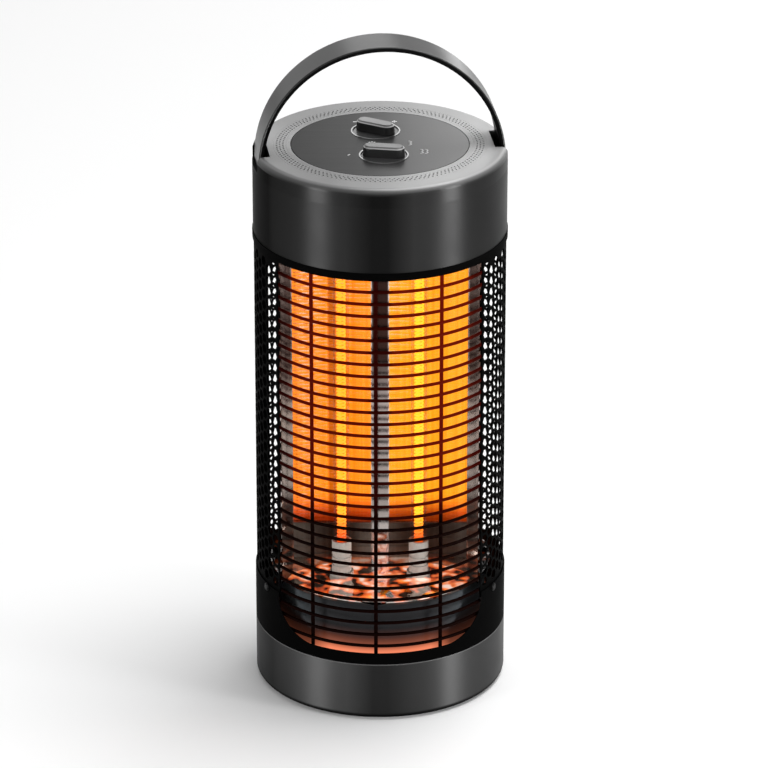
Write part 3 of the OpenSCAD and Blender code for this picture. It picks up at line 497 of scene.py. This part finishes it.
def hot_wire():
    """Glowing resistance wire: yellow, red near the ceramics, the left coil a little redder."""
    finish, tree, shader = start_finish("hot_wire", (0.2, 0.08, 0.03), 0.6)
    low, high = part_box("heating_coil_left")[0].z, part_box("heating_coil_left")[1].z
    length = high - low
    glow = over_height(tree, [
        (low, (0.2, 0.008, 0.0)), (low + 0.05 * length, (0.6, 0.08, 0.002)),
        (low + 0.12 * length, (1.0, 0.34, 0.008)), (high - 0.03 * length, (1.0, 0.34, 0.008)),
        (high, (0.6, 0.1, 0.003)),
    ])
    across = span(tree, along_axis(tree, "X"), -TROUGH_HALF, TROUGH_HALF, 0, 1)
    redder = ramp(tree, across, [(0.0, (1.0, 0.72, 0.6)), (1.0, (1.0, 1.0, 1.0))])
    tree.links.new(times(tree, glow, redder), shader.inputs["Emission Color"])
    shader.inputs["Emission Strength"].default_value = COIL_GLOW
    return finish


def quartz_glass():
    """Clear quartz tube: see-through from the front, a thin dark red line along its edges."""
    finish, tree, shader = start_finish("quartz_glass", (0.14, 0.03, 0.012), 0.05)
    facing = tree.nodes.new("ShaderNodeLayerWeight")
    facing.inputs["Blend"].default_value = 0.5
    haze = grain(tree, 1, (120, 120, 25), detail=3)
    roughen(tree, shader, haze, 0.03, 0.08)
    tree.links.new(span(tree, facing.outputs["Facing"], 0.6, 1, 0.02, 0.85), shader.inputs["Alpha"])
    return finish


def speckled(name, colour, roughness, grain_size, depth, specular=0.5):
    """Moulded plastic, rubber or ceramic with a fine surface grain."""
    finish, tree, shader = start_finish(name, colour, roughness, 0.0, specular)
    fine = grain(tree, 1 / grain_size, detail=3)
    tint(tree, shader, fine, tuple(c * 0.9 for c in colour), tuple(min(1, c * 1.08) for c in colour))
    roughen(tree, shader, fine, roughness * 0.9, roughness * 1.1)
    emboss(tree, shader, fine, depth, 0.4)
    return finish


# Highlights painted across the front of the base and of the casing, as (millimetres to the right, share)
BASE_PAINTED_SHEEN = [(-100, 0.1), (-86, 0.25), (-66, 1.8), (-26, 2.2), (-6, 0.55), (6, 0.55), (26, 1.2),
               (54, 1.6), (74, 1.1), (88, 0.7), (100, 0.3)]
CASING_SPECULAR = 0.16
CASING_PAINTED_SHEEN = [(-100, 0.03), (-86, 0.05), (-66, 0.9), (-26, 1.7), (-6, 0.5), (6, 0.5), (26, 2.2),
                 (54, 1.15), (74, 0.85), (88, 0.5), (100, 0.2)]


def make_finishes():
    """One finish for each material slot of the record, and those of single pieces."""
    base_low, base_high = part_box("base_ring")[0].z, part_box("base_ring")[1].z
    knob_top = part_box("front_knob")[1].z
    deck, deck_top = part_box("deck_plate")[0].z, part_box("lower_drum")[0].z
    return {
        # Painted shade: darker towards the foot; painted highlight: a light line round the top.
        "base_metal": lacquer_with_painted_light("base_metal", [
            (base_low, 0.001), (base_low + 2 * MM, 0.002), (base_low + 4 * MM, 0.008),
            (base_high - 1.0 * MM, 0.008), (base_high - 0.7 * MM, 0.12), (base_high, 0.12),
        ], roughness=0.42, specular=0.3, grain_size=0.0005, depth=0.00002, sheen=WALL_SHEEN,
            shares=BASE_PAINTED_SHEEN, foot=base_low + 5 * MM),
        "black_sheet": sleeve_sheet(),
        "guard_wire": guard_enamel(),
        "casing_paint": satin_paint("casing_paint", 0.003, roughness=0.42, specular=CASING_SPECULAR,
                                    grain_size=0.0006, depth=0.00004, sheen=WALL_SHEEN,
                                    shares=CASING_PAINTED_SHEEN),
        "cap_paint": cap_lacquer(),
        "panel_metal": panel_sheet(),
        "bezel_chrome": brushed_metal("bezel_chrome", 0.3, 0.3, (40, 40, 2500)),
        # Painted highlight: a light band at the top's chamfer; the top painted lighter than the dark sides.
        "knob_plastic": lacquer_with_painted_light("knob_plastic", [
            (knob_top - 4 * MM, 0.035), (knob_top - 1.7 * MM, 0.035), (knob_top - 1.5 * MM, 0.55),
            (knob_top - 1.0 * MM, 0.55), (knob_top - 0.8 * MM, 0.14), (knob_top, 0.14),
        ], roughness=0.3, specular=0.5, grain_size=0.0004, depth=0.00001),
        "handle_paint": strap_lacquer(),
        "mirror_metal": mirror_sheet(),
        "dish_metal": dish_sheet(),
        # Painted sheen on the drum's sides; painted glow at the drum's foot and along the deck's top.
        "drum_metal": sheet_with_painted_glow("drum_metal", (0.012, 0.013, 0.015), (0.12, 0.135, 0.145), 0.2, [
            (deck, 1.5), (deck + 4 * MM, 1.1), (deck + 8 * MM, 0.35), (deck + 16 * MM, 0.06),
            (deck + 24 * MM, 0.0),
        ]),
        "deck_metal": sheet_with_painted_glow("deck_metal", (0.02, 0.015, 0.013), (0.02, 0.015, 0.013), 0.1, [
            (deck, 0.0), (deck_top - 0.3 * MM, 0.0), (deck_top - 0.1 * MM, 1.9), (deck_top + 1 * MM, 1.9),
            (deck_top + 2 * MM, 0.02), (deck_top + 8 * MM, 0.0),
        ]),
        "quartz": quartz_glass(),
        "hot_coil": hot_wire(),
        "ceramic": speckled("ceramic", (0.46, 0.44, 0.4), 0.38, 0.0012, 0.00005),
        "plain_steel": brushed_metal("plain_steel", 0.45, 0.35, (300, 300, 1500)),
        "dark_steel": brushed_metal("dark_steel", 0.008, 0.5, (300, 300, 1500)),
        "black_plastic": speckled("black_plastic", (0.012, 0.012, 0.013), 0.5, 0.0008, 0.00006, 0.4),
        "pale_plastic": speckled("pale_plastic", (0.68, 0.66, 0.6), 0.45, 0.0009, 0.00004),
        "rubber": speckled("rubber", (0.01, 0.01, 0.01), 0.7, 0.0007, 0.00008, 0.3),
    }


# Nodes whose finish is not the one of their slot
OWN_FINISH = {"floor_dish": "dish_metal", "deck_plate": "deck_metal", "sleeve_screws": "dark_steel"}


# Pieces


SHARP_ANGLE = math.radians(40)


def finish_piece(bm, name, finish, body=HEATER, smooth=True):
    """Turns a bmesh into a piece of the heater that rides on a body."""
    mesh = bpy.data.meshes.new(name)
    bmesh.ops.recalc_face_normals(bm, faces=bm.faces[:])
    bm.to_mesh(mesh)
    bm.free()
    for face in mesh.polygons:
        face.use_smooth = smooth
    if smooth:
        mesh.set_sharp_from_angle(angle=SHARP_ANGLE)
    mesh.materials.append(finish)
    piece = bpy.data.objects.new(name, mesh)
    bpy.context.scene.collection.objects.link(piece)
    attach(piece, body)
    return piece


COIL_R = 3.0 * MM
COIL_WIRE_R = 0.85 * MM
COIL_PITCH = 2.9 * MM
COIL_STEPS = 20
COIL_SIDES = 8
COIL_LEAD = 2.4 * MM


def wind_coil(side, finishes):
    """A close-wound heating coil with straight leads, in place of the coarser solid."""
    node = "heating_coil_" + side
    low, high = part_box(node)
    axis = (low + high) / 2
    length = high.z - low.z - 2 * COIL_LEAD
    turns = round(length / COIL_PITCH)
    steps = turns * COIL_STEPS
    bm = bmesh.new()
    start = Matrix.Translation((axis.x + COIL_R, axis.y, low.z + COIL_LEAD))
    upright = Matrix.Rotation(math.pi / 2, 4, "X")
    bmesh.ops.create_circle(bm, segments=COIL_SIDES, radius=COIL_WIRE_R, matrix=start @ upright)
    first = bm.edges[:]
    wound = bmesh.ops.spin(
        bm, geom=bm.verts[:] + first, cent=(axis.x, axis.y, 0), axis=(0, 0, 1),
        dvec=(0, 0, length / steps), angle=2 * math.pi * turns, steps=steps,
    )
    last = [e for e in wound["geom_last"] if isinstance(e, bmesh.types.BMEdge)]
    for ring, reach in ((first, -COIL_LEAD), (last, COIL_LEAD)):
        lead = bmesh.ops.extrude_edge_only(bm, edges=ring)["geom"]
        ends = [v for v in lead if isinstance(v, bmesh.types.BMVert)]
        bmesh.ops.translate(bm, verts=ends, vec=(0, 0, reach / 2))
        caps = [e for e in lead if isinstance(e, bmesh.types.BMEdge) and all(v in ends for v in e.verts)]
        bmesh.ops.contextual_create(bm, geom=caps)
    piece = finish_piece(bm, "fine_coil_" + side, finishes["hot_coil"])
    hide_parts(node)


FOCAL = 20 * MM
VERTEX_Y = -15 * MM
MIRROR_T = 0.8 * MM
MIRROR_STEPS = 140


def roll_mirror(finishes):
    """The double-trough reflector as one smoothly rolled sheet."""
    low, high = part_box("reflector")
    bm = bmesh.new()
    line = [bm.verts.new((low.x, low.y, low.z))]
    for i in range(MIRROR_STEPS + 1):
        x = TROUGH_EDGE * (2 * i / MIRROR_STEPS - 1)
        reach = max(abs(x), RIDGE_HALF) - TROUGH_HALF
        line.append(bm.verts.new((x, VERTEX_Y - reach ** 2 / (4 * FOCAL), low.z)))
    line.append(bm.verts.new((high.x, low.y, low.z)))
    edges = [bm.edges.new(pair) for pair in zip(line, line[1:])]
    sheet = bmesh.ops.extrude_edge_only(bm, edges=edges)["geom"]
    top = [v for v in sheet if isinstance(v, bmesh.types.BMVert)]
    bmesh.ops.translate(bm, verts=top, vec=(0, 0, high.z - low.z))
    bmesh.ops.recalc_face_normals(bm, faces=bm.faces[:])
    bmesh.ops.solidify(bm, geom=bm.faces[:], thickness=MIRROR_T)
    piece = finish_piece(bm, "mirror_trough", finishes["mirror_metal"])
    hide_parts("reflector")


MARK_T = 0.12 * MM
MARK_LINE = 1.1 * MM
FRONT_MARK_R = 27 * MM
REAR_MARK_R = 25 * MM
DASH = 3 * MM
FAN_WIDTH = 7 * MM
FAN_BARS = 4
SIGN = 4 * MM
WAVE_R = 2.1 * MM
WAVE_STEPS = 8
WAVE_OFFSET = 1.8 * MM


def knob_axis(joint):
    """Where a knob's shaft stands on the panel, from its joint."""
    found = next(j for j in frame["joints"] if j["name"] == joint)
    return Vector((found["pos_m"][0], found["pos_m"][1], PANEL_TOP))


def bar_mark(bm, centre, length, angle):
    """One printed dash, lying flat on the panel."""
    place = Matrix.Translation(centre + Vector((0, 0, MARK_T / 2))) @ Matrix.Rotation(angle, 4, "Z")
    size = Matrix.Diagonal((length, MARK_LINE, MARK_T, 1))
    bmesh.ops.create_cube(bm, size=1, matrix=place @ size)


def wave_mark(bm, centre):
    """One printed heat wave: two half rings, one behind the other."""
    for way in (1, -1):
        middle = centre + Vector((0, way * WAVE_R, MARK_T / 2))
        start = Matrix.Translation(centre + Vector((0, 0, MARK_T / 2)))
        size = Matrix.Diagonal((MARK_T, MARK_LINE, MARK_T, 1))
        upright = Matrix.Rotation(math.pi / 2, 4, "Y")
        made = bmesh.ops.create_grid(bm, x_segments=1, y_segments=1, size=0.5, matrix=start @ size @ upright)
        edges = {e for v in made["verts"] for e in v.link_edges}
        faces = {f for v in made["verts"] for f in v.link_faces}
        bmesh.ops.spin(bm, geom=list(made["verts"]) + list(edges) + list(faces), cent=middle,
                       axis=(0, 0, way), angle=math.pi, steps=WAVE_STEPS)


def print_marks(ink):
    """The settings round the two knobs: off, fan, one wave, two waves; less and more."""
    bm = bmesh.new()
    front = knob_axis("selector_turn")
    rear = knob_axis("thermostat_turn")

    def spot(axis, radius, degrees):
        turn = math.radians(degrees)
        return axis + Vector((math.cos(turn), math.sin(turn), 0)) * radius

    bar_mark(bm, spot(front, FRONT_MARK_R, 180), DASH, math.radians(60))
    fan = spot(front, FRONT_MARK_R, 110)
    for bar in range(FAN_BARS):
        bar_mark(bm, fan, FAN_WIDTH, math.pi * bar / FAN_BARS)
    wave_mark(bm, spot(front, FRONT_MARK_R + 5 * MM, 53))
    pair = spot(front, FRONT_MARK_R + 4 * MM, 14)
    for way in (-1, 1):
        wave_mark(bm, pair + Vector((way * WAVE_OFFSET, 0, 0)))
    bar_mark(bm, spot(rear, REAR_MARK_R, 129), SIGN, 0)
    for turn in (0, math.pi / 2):
        bar_mark(bm, spot(rear, REAR_MARK_R, 54), SIGN, turn)
    finish_piece(bm, "panel_marks", ink, smooth=False)


# Stage


FLOOR_HALF = 14.0
FLOOR_TONE = 0.86
FLOOR_GLOW = 0.08


def floor_finish():
    """Pale studio floor that keeps the heater's shadow and is white around it."""
    finish = bpy.data.materials.new("studio_floor")
    finish.use_nodes = True
    tree = finish.node_tree
    shader = tree.nodes["Principled BSDF"]
    shader.inputs["Base Color"].default_value = (*grey(FLOOR_TONE), 1)
    shader.inputs["Roughness"].default_value = 0.9
    shader.inputs["Specular IOR Level"].default_value = 0.1
    shader.inputs["Emission Color"].default_value = (1, 1, 1, 1)
    tree.links.new(seen_directly(tree, FLOOR_GLOW, 0.0), shader.inputs["Emission Strength"])
    return finish


def seen_directly(tree, seen, unseen):
    """One strength for camera, glossy and transmission rays, another for the rest."""
    path = tree.nodes.new("ShaderNodeLightPath")
    total = path.outputs["Is Camera Ray"]
    for name in ("Is Glossy Ray", "Is Transmission Ray"):
        join = tree.nodes.new("ShaderNodeMath")
        join.operation = "MAXIMUM"
        tree.links.new(total, join.inputs[0])
        tree.links.new(path.outputs[name], join.inputs[1])
        total = join.outputs["Value"]
    return span(tree, total, 0, 1, unseen, seen)


def lay_floor():
    """A wide pale floor."""
    bm = bmesh.new()
    bmesh.ops.create_grid(bm, x_segments=1, y_segments=1, size=FLOOR_HALF)
    mesh = bpy.data.meshes.new("floor")
    bm.to_mesh(mesh)
    bm.free()
    mesh.materials.append(floor_finish())
    floor = bpy.data.objects.new("floor", mesh)
    bpy.context.scene.collection.objects.link(floor)


AMBIENT = 0.15


def light_world():
    """A white surround where it is seen, and a plain soft light elsewhere."""
    world = bpy.data.worlds.new("surround")
    world.use_nodes = True
    bpy.context.scene.world = world
    tree = world.node_tree
    background = tree.nodes["Background"]
    background.inputs["Color"].default_value = (1, 1, 1, 1)
    tree.links.new(seen_directly(tree, 1.0, AMBIENT), background.inputs["Strength"])


# Name, azimuth and elevation in degrees, distance, width and height in metres, watts, height of the aim
LAMPS = [
    ("key", 122, 73, 4.0, 3.0, 3.0, 184, 0.25),
    ("back_card", 184, 23, 3.0, 0.8, 0.4, 2.6, 0.25),
    ("side_card", 158, 7, 3.0, 0.6, 0.4, 4.2, 0.25),
    ("right_strip", 64, 0, 1.5, 0.34, 0.35, 20, 0.2),
    ("left_strip", -55, 0, 1.5, 0.42, 0.35, 13, 0.2),
]


def softbox(name, azimuth, elevation, distance, width, height, power, aim_z):
    """An area light round the heater; azimuth 0 is the front and 90 the heater's right."""
    data = bpy.data.lights.new(name, "AREA")
    data.shape = "RECTANGLE"
    data.size = width
    data.size_y = height
    data.energy = power
    lamp = bpy.data.objects.new(name, data)
    bpy.context.scene.collection.objects.link(lamp)
    a, e = math.radians(azimuth), math.radians(elevation)
    way = Vector((math.sin(a) * math.cos(e), -math.cos(a) * math.cos(e), math.sin(e)))
    lamp.location = Vector((0, 0, aim_z)) + way * distance
    lamp.rotation_euler = (-way).to_track_quat("-Z", "Y").to_euler()


def light_studio():
    """A high key behind on the right, two cards behind, and low strips mirrored in the walls."""
    for lamp in LAMPS:
        softbox(*lamp)


def main():
    bpy.context.scene.view_settings.view_transform = "Standard"
    place_camera()
    finishes = make_finishes()
    for part in frame["record"]["subparts"]:
        mesh = frame["nodes"][part["node"]].data
        mesh.materials.clear()
        mesh.materials.append(finishes[OWN_FINISH.get(part["node"], part["material_slot"])])
    for side in ("left", "right"):
        wind_coil(side, finishes)
    roll_mirror(finishes)
    print_marks(speckled("mark_ink", (0.88, 0.88, 0.88), 0.5, 0.0006, 0.00001))
    lay_floor()
    light_world()
    light_studio()


main()
